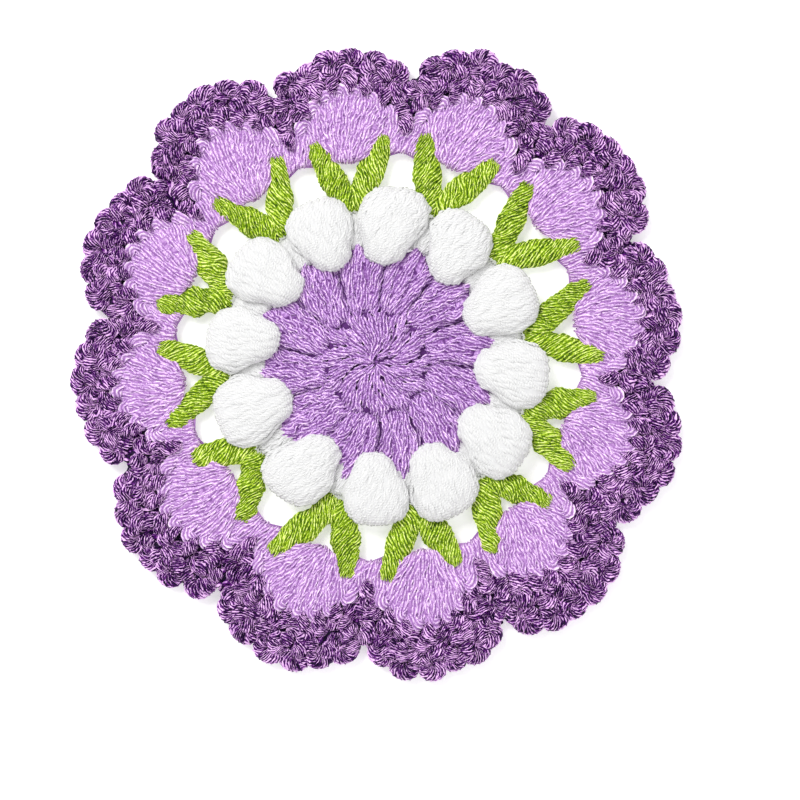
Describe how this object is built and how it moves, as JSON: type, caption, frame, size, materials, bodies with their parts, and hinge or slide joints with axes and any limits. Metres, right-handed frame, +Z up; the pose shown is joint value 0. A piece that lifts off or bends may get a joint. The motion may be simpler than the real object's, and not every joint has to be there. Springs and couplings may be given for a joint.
{
  "type": "crochet coaster",
  "caption": "Flat round crochet coaster worked as a flower: lilac middle, puffed white bobbles, green V stems, pale lilac shells and a scalloped dark purple edging.",
  "frame": {"origin": "middle of the coaster's bounding box, on the surface it lies on", "axes": "+Z up out of the right side of the work; +X to the right and +Y to the top of the coaster as it is looked down on"},
  "size_m": [0.1194, 0.1238, 0.0066],
  "materials": {
    "lilac_yarn": "soft plied cotton, lilac",
    "white_yarn": "soft brushed cotton, white",
    "green_yarn": "soft plied cotton, lime green",
    "pale_lilac_yarn": "soft plied cotton, pale lilac",
    "purple_yarn": "firmly twisted cotton with a slight shine, dark purple"
  },
  "bodies": {
    "root": {"centre_round": "lilac_yarn", "bobble_round": "white_yarn", "stem_round": "green_yarn", "shell_round": "pale_lilac_yarn", "border_round": "purple_yarn"}
  },
  "joints": []
}
